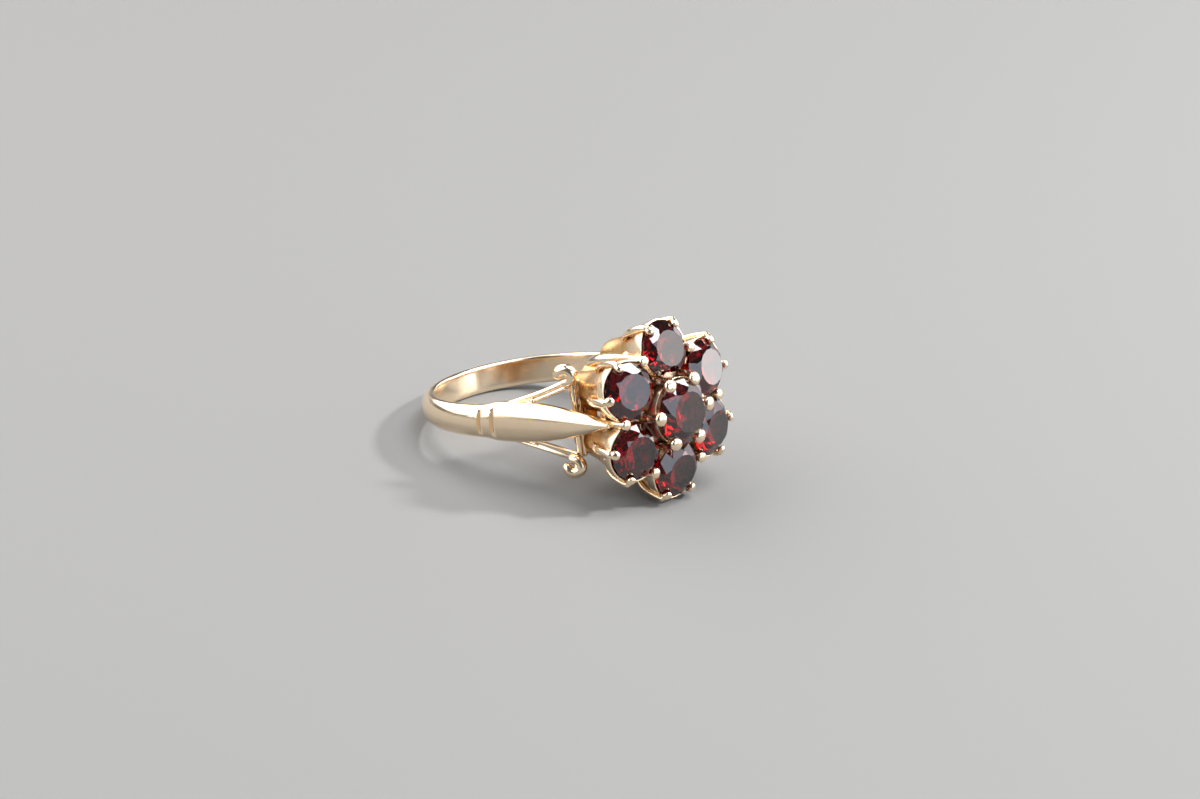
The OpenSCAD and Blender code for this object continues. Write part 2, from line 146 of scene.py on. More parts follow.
class RingHeadSizes(bpy.types.PropertyGroup):
    """The head: its stones' places, cups and claws."""

    height: length("Height", "Height of the outer girdles above the finger", 5.8)
    radius: length("Radius", "From the head's middle to the outer stones", 4.8)
    rise: length("Rise", "Height of the centre stone above the outer ones", 1.35)
    lean: angle("Lean", "Outward lean of the outer stones", 12)
    outer: length("Outer stone", "Diameter of an outer stone", 4.5)
    centre: length("Centre stone", "Diameter of the centre stone", 5.1)
    pavilion: factor("Pavilion", "Pavilion depth as a share of a stone's diameter", 0.42)
    gap: length("Gap", "Clearance between a stone and the metal", 0.04)
    wall: length("Wall", "Wall of a cup", 0.42)
    rim: length("Rim", "Height of the plain rim below the girdle", 0.95)
    rim_step: length("Rim step", "Step from the rim in to the tapered cup", 0.12)
    foot: length("Foot", "Outside diameter of a cup at the finger", 3.0)
    plate: length("Plate", "Thickness of the plate that joins the cups", 0.6)
    claw: length("Claw", "Thickness of a claw's arm", 0.6)
    own_angle: angle("Own claws", "Angle of a stone's own claws from its outward line", 38)
    side_bead: length("Side bead", "Bead on the claws between the outer stones", 0.9)
    inner_bead: length("Inner bead", "Bead on the claws round the centre stone", 1.16)


class RingLooks(bpy.types.PropertyGroup):
    """Colours and finishes."""

    gold: colour("Gold", "Colour of the polished gold", (0.92, 0.74, 0.53))
    gold_shade: colour("Worn gold", "Colour of the gold where it is dull", (0.78, 0.56, 0.36))
    gold_roughness: factor("Gold roughness", "Roughness of the polished gold", 0.18)
    gallery_roughness: factor("Gallery roughness", "Roughness of the gallery's gold", 0.25)
    # Painted shade: a darker, amber gold painted deep in the gallery, standing in for the shade
    # there and for the garnets' red light falling on it
    recess: colour("Recess", "Colour of the gold deep in the gallery", (0.64, 0.38, 0.16))
    garnet: colour("Garnet", "Colour of the stones", (0.19, 0.001, 0.002))
    floor: colour("Floor", "Colour of the floor", (0.15, 0.15, 0.15))


GROUPS = {
    "ring_band": RingBandSizes,
    "ring_wire": RingWireSizes,
    "ring_head": RingHeadSizes,
    "ring_looks": RingLooks,
}


def sizes(context, group):
    """A property group's values, with its lengths in millimetres."""
    source = getattr(context.scene, group)
    found = SimpleNamespace()
    for key in GROUPS[group].__annotations__:
        unit = source.bl_rna.properties[key].unit
        value = getattr(source, key)
        setattr(found, key, value / MM if unit == "LENGTH" else value)
    return found


# Curves and tables


def mix(a, b, share):
    """The value or point at a share of the way from one to another."""
    return a + (b - a) * share


def curve_point(ends, share):
    """A point on the curve from the first to the last of three points."""
    a, b, c = ends
    return mix(mix(a, b, share), mix(b, c, share), share)


def curve_slope(ends, share):
    """The direction of that curve at a share of it."""
    a, b, c = ends
    return mix(b - a, c - b, share).normalized()


def smooth_lookup(rows, share, column):
    """A table's column at a share, on a smooth curve through its rows."""
    last = len(rows) - 1
    i = max(0, min(last - 1, sum(1 for row in rows if row[0] <= share) - 1))
    a, b = rows[i], rows[i + 1]
    span = b[0] - a[0]
    k = min(1, max(0, (share - a[0]) / span))

    def slope(j):
        low, high = rows[max(0, j - 1)], rows[min(last, j + 1)]
        return (high[column] - low[column]) / (high[0] - low[0])

    h = k * k * (3 - 2 * k)
    return (mix(a[column], b[column], h) + k * (1 - k) ** 2 * span * slope(i)
            - k * k * (1 - k) * span * slope(i + 1))


def smooth_rows(rows, steps):
    """More rows on a smooth curve through the given ones."""
    made = []
    for i in range(len(rows) - 1):
        before, a, b, after = (rows[max(0, min(len(rows) - 1, i + k))] for k in (-1, 0, 1, 2))
        for k in range(steps):
            t = k / steps
            made.append(tuple(
                0.5 * (2 * q + (r - p) * t + (2 * p - 5 * q + 4 * r - u) * t * t
                       + (3 * q - p - 3 * r + u) * t ** 3)
                for p, q, r, u in zip(before, a, b, after)))
    return made + [tuple(rows[-1])]


# Mesh building


def section(bm, sides, outline, place):
    """One ring of a loft: a circle reshaped to an outline and set in its place."""
    made = bmesh.ops.create_circle(bm, segments=sides, radius=1)["verts"]
    for vert in made:
        vert.co = place @ outline(vert.co)
    return made


def ring_edges(verts):
    """The edges between a ring's own points."""
    members = set(verts)
    return [e for e in {e for v in verts for e in v.link_edges}
            if e.verts[0] in members and e.verts[1] in members]


def loft(bm, rings, close=(True, True)):
    """Skins a row of rings, and closes its ends where asked."""
    edges = [ring_edges(ring) for ring in rings]
    for low, high in zip(edges, edges[1:]):
        bmesh.ops.bridge_loops(bm, edges=low + high)
    for ring, wanted in zip((rings[0], rings[-1]), close):
        if wanted:
            bmesh.ops.contextual_create(bm, geom=ring)


def upright(point, along, up):
    """A place whose z runs along a path and whose y keeps near to up."""
    along = along.normalized()
    side = up.cross(along).normalized()
    top = along.cross(side)
    return Matrix.Translation(point) @ Matrix((side, top, along)).transposed().to_4x4()


def path_slope(path, i):
    """The direction of a path at one of its points."""
    return path[min(i + 1, len(path) - 1)] - path[max(i - 1, 0)]


def sweep(bm, path, outlines, up, sides):
    """A loft along a path, with an outline for each of its points."""
    rings = [section(bm, sides, outlines[i], upright(path[i], path_slope(path, i), up))
             for i in range(len(path))]
    loft(bm, rings)


def oval(width, height):
    """An outline with two diameters."""
    def outline(v):
        return Vector((v.x * width / 2, v.y * height / 2, 0))
    return outline


def copies_round_head(bm):
    """Repeats all that is made, once for each outer stone."""
    geom = bm.verts[:] + bm.edges[:] + bm.faces[:]
    bmesh.ops.spin(
        bm, geom=geom, axis=Z, cent=(0, 0, 0), angle=2 * pi - OUTER_STEP,
        steps=OUTER_COUNT - 1, use_duplicate=True)


def mirrored(bm, axes):
    """Repeats all that is made across the planes of the given axes."""
    for axis in axes:
        geom = bm.verts[:] + bm.edges[:] + bm.faces[:]
        bmesh.ops.mirror(bm, geom=geom, axis=axis, merge_dist=SAME_POINT)


def metal_piece(bm, name, sharp=pi, material=None):
    """Turns a finished mesh into a gold piece that stands for the metal of the setting."""
    bmesh.ops.recalc_face_normals(bm, faces=bm.faces[:])
    bm.transform(PLACE)
    mesh = bpy.data.meshes.new(name)
    bm.to_mesh(mesh)
    bm.free()
    mesh.shade_smooth()
    if sharp < pi:
        mesh.set_sharp_from_angle(angle=sharp)
    piece = bpy.data.objects.new(name, mesh)
    bpy.context.scene.collection.objects.link(piece)
    mesh.materials.append(material or polished_gold())
    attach(piece, "root")
    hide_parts(METAL)
    return piece


# Places in the head


def head_places(head):
    """Heights and places that the pieces of the head share."""
    girdle = BORE_R + head.height
    return SimpleNamespace(
        girdle=girdle,
        centre=girdle + head.rise,
        plate=girdle - head.pavilion * head.outer - head.plate,
        foot=head.radius - head.height * sin(head.lean) / cos(head.lean))


def outer_place(head, i):
    """From an outer stone's own frame to the ring's."""
    places = head_places(head)
    return (Matrix.Rotation(OUTER_STEP * (i + 0.5), 4, "Z")
            @ Matrix.Translation((head.radius, 0, places.girdle))
            @ Matrix.Rotation(head.lean, 4, "Y"))


def foot_reach(head):
    """How far the cups' feet reach towards a shoulder."""
    return head_places(head).foot * cos(OUTER_STEP / 2) + head.foot / 2


# Side claw by share of the head's height: distance from the middle as a share of the
# stones' circle, width and thickness as shares of a claw's
SIDE_CLAW = (
    (-0.08, 0.90, 1.80, 1.00),
    (0.12, 0.99, 1.75, 0.95),
    (0.35, 1.055, 1.55, 0.88),
    (0.55, 1.085, 1.15, 0.85),
    (0.75, 1.10, 0.90, 0.85),
    (0.90, 1.10, 0.90, 0.85),
    (1.00, 1.085, 1.00, 0.95),
)


def side_claw_reach(head, share):
    """How far from the middle a side claw stands, at a share of the head's height."""
    return head.radius * smooth_lookup(SIDE_CLAW, share, 1)


# Band and shoulders

# Leaf shoulder by share of its length: width and thickness as shares of the leaf's own
LEAF = (
    (0.00, 0.82, 0.96),
    (0.10, 0.94, 1.00),
    (0.25, 1.00, 1.00),
    (0.42, 0.97, 0.94),
    (0.58, 0.86, 0.82),
    (0.72, 0.69, 0.70),
    (0.84, 0.48, 0.60),
    (0.93, 0.30, 0.52),
    (1.00, 0.17, 0.46),
)
BAND_SIDES = 56
BAND_SHARP = radians(38)
BAND_STEPS = 44
LEAF_STEPS = 60
GROOVE_STEPS = (0, 0.12, 0.25, 0.36, 0.44, 0.48, 0.5, 0.52)
# Half of the stretch, by a groove's width, that holds only the groove's own steps
GROOVE_MARGIN = 0.56
# Squareness of the band's inner corners: nought is square and one is round
BOXINESS = 0.34
# Height of the rounded outside as a share of a leaf's thickness
CROWN = 0.7
# Share of a leaf over which the band's neck widens to it
NECK_BLEND = 0.125
# A leaf ends on its side claw: where by the claw's height, how far past the claw by the
# claw's thickness, and how far below the outer girdles in millimetres
LEAF_ON_CLAW = 0.9
LEAF_PAST_CLAW = 1.3
LEAF_DROP = 1
# Rounded end of a leaf: how far past it by its own thickness, and the share of its size
LEAF_END = ((0.12, 0.94), (0.22, 0.8), (0.3, 0.56), (0.34, 0.25))
# A depth in millimetres that limits nothing, and an angle that counts as nought
NO_LIMIT = 100
LEVEL = 1e-6


def leaf_curve(band, head):
    """Three points that set a shoulder's outer line."""
    outside = BORE_R + band.thickness
    start = Vector((outside * cos(band.neck), 0, outside * sin(band.neck)))
    turn = start + band.leaf_run * Vector((-sin(band.neck), 0, cos(band.neck)))
    reach = side_claw_reach(head, LEAF_ON_CLAW) + head.claw * LEAF_PAST_CLAW
    return start, turn, Vector((reach, 0, BORE_R + head.height - LEAF_DROP))


def depth_to_finger(point, out):
    """How far inward from a point the finger circle lies."""
    towards = point.dot(out)
    left = towards * towards - (point.length_squared - BORE_R * BORE_R)
    return towards - sqrt(left) if left > 0 else NO_LIMIT


def band_outline(width, depth, crown, cut, boxiness):
    """Flat inside with worn corners, rounded outside, and a groove's floor."""
    def outline(v):
        turn = atan2(v.y, v.x)
        if turn >= -LEVEL:
            return Vector((cos(turn) * width / 2, min(crown * (sin(turn) - 1), -cut), 0))
        side = 1 if v.x >= 0 else -1
        across = side * width / 2 * abs(cos(turn)) ** boxiness
        return Vector((across, -crown - (depth - crown) * abs(sin(turn)) ** boxiness, 0))
    return outline


def groove_cut(band, run):
    """Depth of the grooves at a distance along the shoulder."""
    deepest = 0
    for side in (-1, 1):
        off = abs(run - band.groove_start - side * band.groove_gap / 2) / band.groove_width
        if off < 0.5:
            deepest = max(deepest, band.groove_depth * sqrt(1 - 4 * off * off))
    return deepest


class RING_OT_band(bpy.types.Operator):
    """Make the band with its leaf shoulders and cut grooves"""

    bl_idname = "ring.band"
    bl_label = "Band and Shoulders"

    def execute(self, context):
        band, head = sizes(context, "ring_band"), sizes(context, "ring_head")
        curve = leaf_curve(band, head)
        full = 2 * band.leaf_run
        shares = {k / LEAF_STEPS for k in range(1, LEAF_STEPS + 1)}
        margin = band.groove_width * GROOVE_MARGIN
        for side in (-1, 1):
            middle = band.groove_start + side * band.groove_gap / 2
            shares = {s for s in shares if abs(s * full - middle) > margin}
            shares |= {(middle + way * step * band.groove_width) / full
                       for step in GROOVE_STEPS for way in (-1, 1)}
        bm = bmesh.new()
        rings = []
        for k in range(BAND_STEPS + 1):
            share = k / BAND_STEPS
            turn = mix(-pi / 2, band.neck, share)
            out = Vector((cos(turn), 0, sin(turn)))
            width = mix(band.back_width, band.neck_width, share * share)
            rings.append(self.ring(
                bm, out * (BORE_R + band.thickness), out, width, band.thickness,
                band.thickness - band.edge, 0, BOXINESS))
        for share in sorted(shares):
            slope = curve_slope(curve, share)
            out = Vector((slope.z, 0, -slope.x))
            point = curve_point(curve, share)
            width = mix(band.neck_width, band.leaf_width * smooth_lookup(LEAF, share, 1),
                        min(1, share / NECK_BLEND))
            depth = min(depth_to_finger(point, out),
                        band.leaf_thickness * smooth_lookup(LEAF, share, 2))
            crown = min(band.thickness - band.edge, depth * CROWN)
            boxiness = mix(BOXINESS, 1, max(0, share * 2 - 1))
            rings.append(self.ring(
                bm, point, out, width, depth, crown, groove_cut(band, share * full), boxiness))
        for past, size in LEAF_END:
            inward = out * (depth * (1 - size) / 2)
            rings.append(self.ring(
                bm, point + slope * depth * past - inward, out, width * size, depth * size,
                crown * size, 0, 1))
        loft(bm, rings, close=(False, True))
        mirrored(bm, "X")
        metal_piece(bm, "band_and_shoulders", sharp=BAND_SHARP)
        return {"FINISHED"}

    def ring(self, bm, point, out, width, depth, crown, cut, boxiness):
        """A cross-section of the band whose outer middle is at a point."""
        place = Matrix.Translation(point) @ Matrix((-Y, out, -Y.cross(out))).transposed().to_4x4()
        return section(
            bm, BAND_SIDES, band_outline(width, depth, crown, cut, boxiness), place)


# Side wires, scrolls and end rails

WIRE_STEPS = 30
WIRE_SIDES = 24
WIRE_SHARP = radians(60)
# A side wire starts this far past the neck, sunk into the band by its own thickness
WIRE_START = radians(13.6)
WIRE_SUNK = 1.3
# It ends past the cups' feet by the rail's width, and above the finger by its height
WIRE_END_OUT = 1.12
WIRE_END_UP = 2.4
# How its middle stands off a straight line: along and across the ring in millimetres,
# and upward by its own thickness
WIRE_BOW = (0.1, -0.05)
WIRE_BOW_UP = 0.9
# Half width of the channel by half of the wire, and how much deeper it is drawn, because
# the round of the wire takes up the rest
CHANNEL_HALF = 0.42
CHANNEL_DRAWN = 1.25
# The fork bead's place as a share of a wire's length
FORK = 0.4
SCROLL_STEPS = 48
SCROLL_SIDES = 20
SCROLL_START = radians(200)
SCROLL_TURN = radians(318)
# The scroll is this much longer than it is wide
SCROLL_STRETCH = 1.18
# Its middle from the wire's end: outward and back by its wire, aside by its radius
SCROLL_OUT = 0.5
SCROLL_BACK = 0.3
SCROLL_ASIDE = 0.72
# Scroll by share of its turn: outside radius as a share of its own, and thickness as a
# share of its wire
SCROLL = (
    (0.00, 0.98, 1.15),
    (0.20, 1.00, 1.45),
    (0.45, 1.00, 1.58),
    (0.65, 0.98, 1.56),
    (0.82, 0.94, 1.44),
    (0.92, 0.90, 1.22),
    (0.97, 0.85, 0.90),
    (1.00, 0.76, 0.34),
)


def wire_curve(band, wire, head):
    """Three points that set a side wire's middle line."""
    turn = band.neck + WIRE_START
    reach = BORE_R + band.thickness - wire.thickness * WIRE_SUNK
    root = Vector((reach * cos(turn), band.neck_width / 2 - wire.width / 4, reach * sin(turn)))
    end_x = foot_reach(head) + wire.rail * WIRE_END_OUT
    end_r = BORE_R + wire.rail_height * WIRE_END_UP
    end = Vector((end_x, wire.spread, sqrt(end_r * end_r - end_x * end_x)))
    middle = mix(root, end, 0.5) + Vector((*WIRE_BOW, wire.thickness * WIRE_BOW_UP))
    return root, middle, end


def wire_outline(wire):
    """Two rounded ridges with a channel between them."""
    def outline(v):
        x, y = v.x * wire.width / 2, v.y * wire.thickness / 2
        if v.y > 0:
            y -= wire.channel * CHANNEL_DRAWN * exp(-(v.x / CHANNEL_HALF) ** 2)
        return Vector((x, y, 0))
    return outline


class RING_OT_wires(bpy.types.Operator):
    """Make the channelled side wires, with a bead in each fork"""

    bl_idname = "ring.wires"
    bl_label = "Side Wires"

    def execute(self, context):
        band, wire = sizes(context, "ring_band"), sizes(context, "ring_wire")
        curve = wire_curve(band, wire, sizes(context, "ring_head"))
        out = Vector((curve[1].x, 0, curve[1].z)).normalized()
        bm = bmesh.new()
        path = [curve_point(curve, k / WIRE_STEPS) for k in range(WIRE_STEPS + 1)]
        sweep(bm, path, [wire_outline(wire)] * len(path), out, WIRE_SIDES)
        bead = curve_point(curve, FORK) + out * wire.thickness / 4 - Y * wire.width / 4
        bmesh.ops.create_icosphere(
            bm, subdivisions=3, radius=wire.fork_bead / 2, matrix=Matrix.Translation(bead))
        mirrored(bm, "XY")
        metal_piece(bm, "side_wires", sharp=WIRE_SHARP)
        return {"FINISHED"}


class RING_OT_scrolls(bpy.types.Operator):
    """Make the scroll that each side wire ends in"""

    bl_idname = "ring.scrolls"
    bl_label = "Scrolls"

    def execute(self, context):
        band, wire = sizes(context, "ring_band"), sizes(context, "ring_wire")
        curve = wire_curve(band, wire, sizes(context, "ring_head"))
        slope = curve_slope(curve, 1)
        along = Vector((slope.x, 0, slope.z)).normalized()
        out = Vector((along.z, 0, -along.x))
        radius = wire.scroll / 2
        middle = curve[2] + Y * radius * SCROLL_ASIDE
        middle += (out * SCROLL_OUT - along * SCROLL_BACK) * wire.scroll_wire
        path, outlines = [], []
        for k in range(SCROLL_STEPS + 1):
            share = k / SCROLL_STEPS
            turn = SCROLL_START - SCROLL_TURN * share
            thick = wire.scroll_wire * smooth_lookup(SCROLL, share, 2)
            reach = radius * smooth_lookup(SCROLL, share, 1) - thick / 2
            path.append(middle + reach * (cos(turn) * Y + SCROLL_STRETCH * sin(turn) * along))
            outlines.append(oval(thick, thick))
        bm = bmesh.new()
        sweep(bm, path, outlines, out, SCROLL_SIDES)
        mirrored(bm, "XY")
        metal_piece(bm, "scrolls")
        return {"FINISHED"}


RAIL_SIDES = 20
# The two wires' places outside the cups' feet, their thickness, and how far they reach
# past the side wires' ends, all by the rail's width
RAIL_PLACES = (0.1, 0.6)
RAIL_THICK = 0.56
RAIL_PAST = 0.2
# End rail by share of half its length: its thickness
RAIL_END = (
    (-1.00, 0.20), (-0.99, 0.55), (-0.97, 0.80), (-0.94, 0.95), (-0.90, 1.00), (0.00, 1.00),
    (0.90, 1.00), (0.94, 0.95), (0.97, 0.80), (0.99, 0.55), (1.00, 0.20),
)


class RING_OT_end_rails(bpy.types.Operator):
    """Make the two fine wires that close each side of the gallery"""

    bl_idname = "ring.end_rails"
    bl_label = "End Rails"

    def execute(self, context):
        band, wire = sizes(context, "ring_band"), sizes(context, "ring_wire")
        head = sizes(context, "ring_head")
        end = wire_curve(band, wire, head)[2]
        half = wire.spread + wire.rail * RAIL_PAST
        thick = wire.rail * RAIL_THICK
        bm = bmesh.new()
        for step in RAIL_PLACES:
            base = Vector((foot_reach(head) + step * wire.rail, 0, end.z))
            path = [base + Y * half * along for along, _ in RAIL_END]
            sweep(bm, path, [oval(thick * k, thick * k) for _, k in RAIL_END], X, RAIL_SIDES)
        mirrored(bm, "X")
        metal_piece(bm, "end_rails")
        return {"FINISHED"}


# Cups, plate and foot rail

CUP_SIDES = 72
GALLERY_SHARP = radians(50)
# Edges sharper than this are rounded, and by how many millimetres
EDGE_ANGLE = radians(14)
CUP_EDGE = 0.05
THIN_EDGE = 0.025
PLATE_EDGE = 0.06
# A cup's rim stands this far outside its stone, in millimetres
LIP = 0.2
# The rim's top below the girdle, by the stone's clearance
RIM_TOP = 1.5
# The neck below the rim: how far in and how far down, by the rim's step
NECK_IN = 1.3
NECK_DOWN = 0.9
# Seat inside the rim: how far in by the cup's wall, and how far down by the rim's height
SEAT = ((0.7, 1), (0.3, 0.5))
# A rim dips where it faces the centre stone: by how much, and from how far outward
INNER_DIP = 0.6
INNER_DIP_FROM = 0.3
# Drop of the centre cup below its girdle, and of its upper diameter, by the rim's height
CENTRE_DROP = 0.3
CENTRE_DOWN = 2
# Lip of the centre cup by its wall, and its upper and lower diameters by the stone's
CENTRE_LIP = 0.25
CENTRE_ACROSS = (0.86, 0.62)
# Height of the centre cup's foot above the plate's underside, by the plate's thickness
CENTRE_IN_PLATE = 0.4
# The plate ends on the side claws, at this share of the head's height
PLATE_AT = 0.55
# The foot rail starts this far inside the finger's circle, in millimetres
RAIL_SUNK = 0.6
# Cup below its rim by share of the height to the finger: outside diameter by the stone's
CUP = (
    (0.30, 0.930),
    (0.44, 0.830),
    (0.58, 0.765),
    (0.72, 0.725),
    (0.87, 0.700),
    (1.10, 0.665),
)


def lathe(bm, profile, steps):
    """Turns a closed profile of [radius, height] points about the z axis."""
    verts = [bm.verts.new((r, 0, z)) for r, z in profile]
    edges = [bm.edges.new(pair) for pair in zip(verts, verts[1:] + verts[:1])]
    bmesh.ops.spin(
        bm, geom=verts + edges, axis=Z, cent=(0, 0, 0), angle=2 * pi, steps=steps,
        use_merge=True)


def rounded(bm, size):
    """Rounds every edge that is sharper than a polished one."""
    bmesh.ops.recalc_face_normals(bm, faces=bm.faces[:])
    sharp = [e for e in bm.edges
             if len(e.link_faces) == 2 and e.calc_face_angle(0) > EDGE_ANGLE]
    bmesh.ops.bevel(
        bm, geom=sharp, affect="EDGES", offset=size, segments=2, profile=0.5, material=-1,
        clamp_overlap=True)


def cup_profile(head, stone, lip, lower):
    """Section of a cup: its outside from the rim down, then its hollow from the foot up."""
    seat_r = stone / 2 + head.gap
    top = -head.gap * RIM_TOP
    rim_r = stone / 2 + lip
    rim = [(rim_r, top), (rim_r - head.rim_step / 2, -head.rim)]
    neck = (rim_r - head.rim_step * NECK_IN, -head.rim - head.rim_step * NECK_DOWN)
    outside = smooth_rows([neck] + [(d / 2, -drop) for d, drop in lower], 3)
    hollow = [(r - head.wall, z) for r, z in reversed(outside[3:])]
    seat = [(seat_r - head.wall * inward, -head.rim * down) for inward, down in SEAT]
    return rim + outside + hollow + seat + [(seat_r, top)]


def sit_on_finger(verts, radius, along):
    """Slides what lies within a circle round the finger out to it, along a direction."""
    steep = along.x ** 2 + along.z ** 2
    for vert in verts:
        within = radius * radius - vert.co.x ** 2 - vert.co.z ** 2
        if within > 0:
            towards = vert.co.x * along.x + vert.co.z * along.z
            vert.co += along * ((sqrt(towards * towards + steep * within) - towards) / steep)


class RING_OT_cups(bpy.types.Operator):
    """Make the gallery: the stones' cups, the plate and the foot rail"""

    bl_idname = "ring.cups"
    bl_label = "Cups and Gallery"

    def execute(self, context):
        head, wire = sizes(context, "ring_head"), sizes(context, "ring_wire")
        places = head_places(head)
        bm = bmesh.new()
        lower = [(head.outer * across, head.height * down) for down, across in CUP]
        lathe(bm, cup_profile(head, head.outer, LIP, lower), CUP_SIDES)
        rounded(bm, CUP_EDGE)
        self.open_inward(bm, head)
        cup = bm.verts[:] + bm.edges[:] + bm.faces[:]
        for i in range(1, OUTER_COUNT):
            self.seat(bm, head, bmesh.ops.duplicate(bm, geom=cup)["geom"], i)
        self.seat(bm, head, cup, 0)
        self.centre_cup(bm, head, places)
        self.washer(bm, head.wall, side_claw_reach(head, PLATE_AT), 0, head.plate, places.plate)
        self.washer(bm, places.foot - head.wall, places.foot + wire.rail, -RAIL_SUNK,
                    wire.rail_height, BORE_R)
        sit_on_finger(bm.verts, BORE_R, Z)
        metal_piece(bm, "cups_and_gallery", sharp=GALLERY_SHARP, material=gallery_gold())
        return {"FINISHED"}

    def centre_cup(self, bm, head, places):
        """Adds the centre stone's thin cup, which stands in the plate."""
        top = places.centre - head.rim * CENTRE_DROP
        foot = top - places.plate - head.plate * CENTRE_IN_PLATE
        drops = (head.rim * CENTRE_DOWN, foot)
        lower = [(head.centre * across, drop) for across, drop in zip(CENTRE_ACROSS, drops)]
        profile = cup_profile(head, head.centre, head.wall * CENTRE_LIP, lower)
        self.add(bm, profile, top, THIN_EDGE)

    def washer(self, bm, inner, outer, low, high, height):
        """Adds a flat ring between two radii and two heights."""
        profile = [(outer, low), (outer, high), (inner, high), (inner, low)]
        self.add(bm, profile, height, PLATE_EDGE)

    def open_inward(self, bm, head):
        """Dips a cup's rim on the side that faces the centre stone."""
        for vert in bm.verts:
            height = 1 + vert.co.z / head.rim
            outward = vert.co.x / vert.co.xy.length
            if height > 0:
                share = min(1, max(0, INNER_DIP_FROM - outward))
                vert.co.z -= INNER_DIP * height * share * share * (3 - 2 * share)

    def seat(self, bm, head, cup, i):
        """Moves a cup to its stone, with its foot cut to the finger's circle."""
        verts = [part for part in cup if isinstance(part, bmesh.types.BMVert)]
        place = outer_place(head, i)
        bmesh.ops.transform(bm, matrix=place, verts=verts)
        sit_on_finger(verts, BORE_R + head.gap, place.to_3x3() @ Z)

    def add(self, bm, profile, height, edge):
        """Adds a turned part at a height above the finger's middle, with its edges rounded."""
        part = bmesh.new()
        lathe(part, profile, CUP_SIDES)
        rounded(part, edge)
        bmesh.ops.translate(part, verts=part.verts[:], vec=(0, 0, height))
        mesh = bpy.data.meshes.new("part")
        part.to_mesh(mesh)
        part.free()
        bm.from_mesh(mesh)
        bpy.data.meshes.remove(mesh)


# Claws

CLAW_SIDES = 20
# Rounded tip by share of its length: its width and thickness
TIP = (
    (-0.46, 0.66), (-0.34, 0.82), (-0.16, 0.97), (0.02, 1.00), (0.18, 0.95), (0.31, 0.83),
    (0.40, 0.66), (0.46, 0.45), (0.49, 0.24), (0.50, 0.08),
)
# Own claw by its thickness: outward from the stone's edge, up from the girdle, width and
# thickness
OWN_CLAW = (
    (-1.15, -5.00, 0.80, 0.70),
    (-0.70, -4.60, 1.00, 0.80),
    (-0.25, -4.15, 1.12, 0.84),
    (0.20, -3.10, 1.16, 0.84),
    (0.42, -1.90, 1.12, 0.80),
    (0.52, -0.80, 1.06, 0.76),
    (0.54, -0.15, 0.98, 0.72),
    (0.47, 0.22, 0.90, 0.70),
)
# Tips: lean, then length, width and thickness by the claw's thickness or the bead's
OWN_TIP = (radians(-52), 1.3, 1.25, 0.86)
SIDE_TIP = (radians(8), 0.56, 1, 1)
INNER_TIP = (radians(12), 0.58, 1, 0.94)
# Middle of an own tip from the stone's edge and the girdle, by the claw's thickness
OWN_TIP_AT = (-0.12, 0.68)
# Middle of a side tip: from the middle by the stones' circle, and above the girdle by the bead
SIDE_TIP_AT = (1.07, 0.3)
# Middle of an inner tip: from the stone's edge by the claw, and above the girdle by the bead
INNER_TIP_AT = (0.12, 0.2)
# Thickness of an inner claw's stem by the claw's own
INNER_STEM = 1.15


def tip_rows(x, z, tip, size):
    """Rows of a rounded tip round its middle, along a line that leans from upright."""
    lean = tip[0]
    long, width, thick = (size * k for k in tip[1:])
    return [(x + long * share * sin(lean), z + long * share * cos(lean), width * k, thick * k)
            for share, k in TIP]


def claw(bm, rows):
    """A claw in the plane y = 0 through rows of x, z, width and thickness."""
    path = [Vector((x, 0, z)) for x, z, _, _ in rows]
    outlines = [oval(thick, width) for _, _, width, thick in rows]
    sweep(bm, path, outlines, Y, CLAW_SIDES)


class RING_OT_outer_claws(bpy.types.Operator):
    """Make the claws on the outer side of each outer stone"""

    bl_idname = "ring.outer_claws"
    bl_label = "Outer Claws"

    def execute(self, context):
        head = sizes(context, "ring_head")
        edge, size = head.outer / 2 + head.gap, head.claw
        rows = [(edge + x * size, z * size, width * size, thick * size)
                for x, z, width, thick in OWN_CLAW]
        out, up = OWN_TIP_AT
        rows = smooth_rows(rows, 4) + tip_rows(edge + size * out, size * up, OWN_TIP, size)
        bm = bmesh.new()
        claw(bm, rows)
        geom = bm.verts[:] + bm.edges[:] + bm.faces[:]
        bmesh.ops.rotate(
            bm, verts=bm.verts[:], cent=(0, 0, 0), matrix=Matrix.Rotation(-head.own_angle, 3, "Z"))
        bmesh.ops.spin(
            bm, geom=geom, axis=Z, cent=(0, 0, 0), angle=2 * head.own_angle, steps=1,
            use_duplicate=True)
        bm.transform(outer_place(head, 0))
        copies_round_head(bm)
        metal_piece(bm, "outer_claws")
        return {"FINISHED"}


class RING_OT_side_claws(bpy.types.Operator):
    """Make the long claws between the outer stones"""

    bl_idname = "ring.side_claws"
    bl_label = "Side Claws"

    def execute(self, context):
        head = sizes(context, "ring_head")
        rows = [(head.radius * reach, BORE_R + head.height * share, head.claw * width,
                 head.claw * thick) for share, reach, width, thick in SIDE_CLAW]
        out, up = SIDE_TIP_AT
        bead = head.side_bead
        rows = smooth_rows(rows, 4) + tip_rows(
            head.radius * out, head_places(head).girdle + bead * up, SIDE_TIP, bead)
        bm = bmesh.new()
        claw(bm, rows)
        copies_round_head(bm)
        metal_piece(bm, "side_claws")
        return {"FINISHED"}


